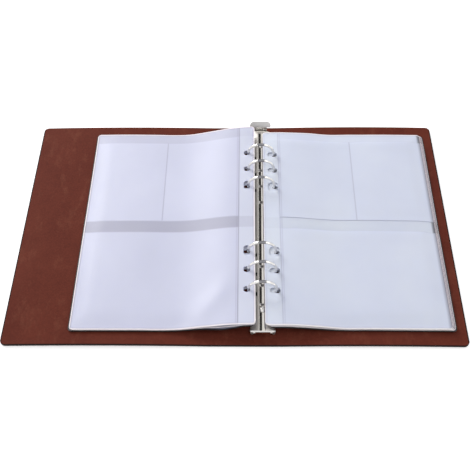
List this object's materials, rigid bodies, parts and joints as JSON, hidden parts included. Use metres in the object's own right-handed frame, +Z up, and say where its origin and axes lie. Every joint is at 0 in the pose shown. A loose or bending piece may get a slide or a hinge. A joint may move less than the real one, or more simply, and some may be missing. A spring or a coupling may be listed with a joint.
{
  "type": "ring binder with pocket sleeves",
  "caption": "Soft leather-look ring binder lying open, with a chrome ring rail on its back cover and frosted pocket sleeves that turn on the rings to store cutting dies.",
  "frame": {"origin": "on the table under the middle of the open cover", "axes": "+X from the front cover to the back cover, +Y along the spine away from the reader, +Z up"},
  "size_m": [0.368, 0.232, 0.0278],
  "materials": {
    "cover_leather": "brown leather-look skin",
    "cover_lining": "brown suede-look lining",
    "grey_board": "pressed grey board",
    "bright_nickel": "bright nickel plate",
    "plain_steel": "plain strip steel",
    "frosted_film": "frosted translucent film"
  },
  "bodies": {
    "back_cover": {"back_cover_skin": "cover_leather", "back_cover_board": "grey_board", "back_cover_lining": "cover_lining", "ring_rail": "bright_nickel", "far_rivet": "bright_nickel", "near_rivet": "bright_nickel"},
    "spine": {"spine_skin": "cover_leather", "spine_lining": "cover_lining"},
    "front_cover": {"front_cover_skin": "cover_leather", "front_cover_board": "grey_board", "front_cover_lining": "cover_lining"},
    "left_rings": {"left_blade": "plain_steel", "left_half_ring_1": "bright_nickel", "left_half_ring_2": "bright_nickel", "left_half_ring_3": "bright_nickel", "left_half_ring_4": "bright_nickel", "left_half_ring_5": "bright_nickel", "left_half_ring_6": "bright_nickel"},
    "right_rings": {"right_blade": "plain_steel", "right_half_ring_1": "bright_nickel", "right_half_ring_2": "bright_nickel", "right_half_ring_3": "bright_nickel", "right_half_ring_4": "bright_nickel", "right_half_ring_5": "bright_nickel", "right_half_ring_6": "bright_nickel"},
    "far_lever": {"far_lever": "bright_nickel"},
    "near_lever": {"near_lever": "bright_nickel"},
    "front_sleeves": {"front_sleeve_1": "frosted_film", "front_sleeve_2": "frosted_film", "front_sleeve_3": "frosted_film"},
    "back_sleeve_4": {"back_sleeve_4": "frosted_film"},
    "back_sleeve_3": {"back_sleeve_3": "frosted_film"},
    "back_sleeve_2": {"back_sleeve_2": "frosted_film"},
    "back_sleeve_1": {"back_sleeve_1": "frosted_film"}
  },
  "joints": [
    {"name": "front_sleeves_turn", "type": "hinge", "parent": "back_cover", "child": "front_sleeves", "pos_m": [0.0229, 0, 0.0151], "axis": [0, 1, 0], "range_deg": [0, 180]},
    {"name": "spine_fold", "type": "hinge", "parent": "back_cover", "child": "spine", "pos_m": [0.007, 0, 0.003], "axis": [0, 1, 0], "range_deg": [0, 90]},
    {"name": "front_cover_fold", "type": "hinge", "parent": "spine", "child": "front_cover", "pos_m": [-0.0212, 0, 0.003], "axis": [0, 1, 0], "range_deg": [0, 90]},
    {"name": "ring_open", "type": "hinge", "parent": "back_cover", "child": "left_rings", "pos_m": [0.0147, 0, 0.00495], "axis": [0, -1, 0], "range_deg": [0, 11.5]},
    {"name": "right_ring_open", "type": "hinge", "parent": "back_cover", "child": "right_rings", "pos_m": [0.0311, 0, 0.00495], "axis": [0, 1, 0], "range_deg": [0, 11.5]},
    {"name": "far_lever_tilt", "type": "hinge", "parent": "back_cover", "child": "far_lever", "pos_m": [0.0229, 0.1067, 0.0053], "axis": [-1, 0, 0], "range_deg": [0, 23]},
    {"name": "near_lever_tilt", "type": "hinge", "parent": "back_cover", "child": "near_lever", "pos_m": [0.0229, -0.1067, 0.0053], "axis": [1, 0, 0], "range_deg": [0, 23]},
    {"name": "back_sleeve_4_turn", "type": "hinge", "parent": "back_cover", "child": "back_sleeve_4", "pos_m": [0.0229, 0, 0.0151], "axis": [0, 1, 0], "range_deg": [-8, 0]},
    {"name": "back_sleeve_3_turn", "type": "hinge", "parent": "back_sleeve_4", "child": "back_sleeve_3", "pos_m": [0.0229, 0, 0.0151], "axis": [0, 1, 0], "range_deg": [-10, 0]},
    {"name": "back_sleeve_2_turn", "type": "hinge", "parent": "back_sleeve_3", "child": "back_sleeve_2", "pos_m": [0.0229, 0, 0.0151], "axis": [0, 1, 0], "range_deg": [-12, 0]},
    {"name": "back_sleeve_1_turn", "type": "hinge", "parent": "back_sleeve_2", "child": "back_sleeve_1", "pos_m": [0.0229, 0, 0.0151], "axis": [0, 1, 0], "range_deg": [-145, 0]}
  ],
  "couplings": [
    {"joint": "spine_fold", "follows": "front_sleeves_turn", "ratio": 0.5},
    {"joint": "front_cover_fold", "follows": "front_sleeves_turn", "ratio": 0.5},
    {"joint": "right_ring_open", "follows": "ring_open", "ratio": 1},
    {"joint": "far_lever_tilt", "follows": "ring_open", "ratio": 2},
    {"joint": "near_lever_tilt", "follows": "ring_open", "ratio": 2}
  ]
}
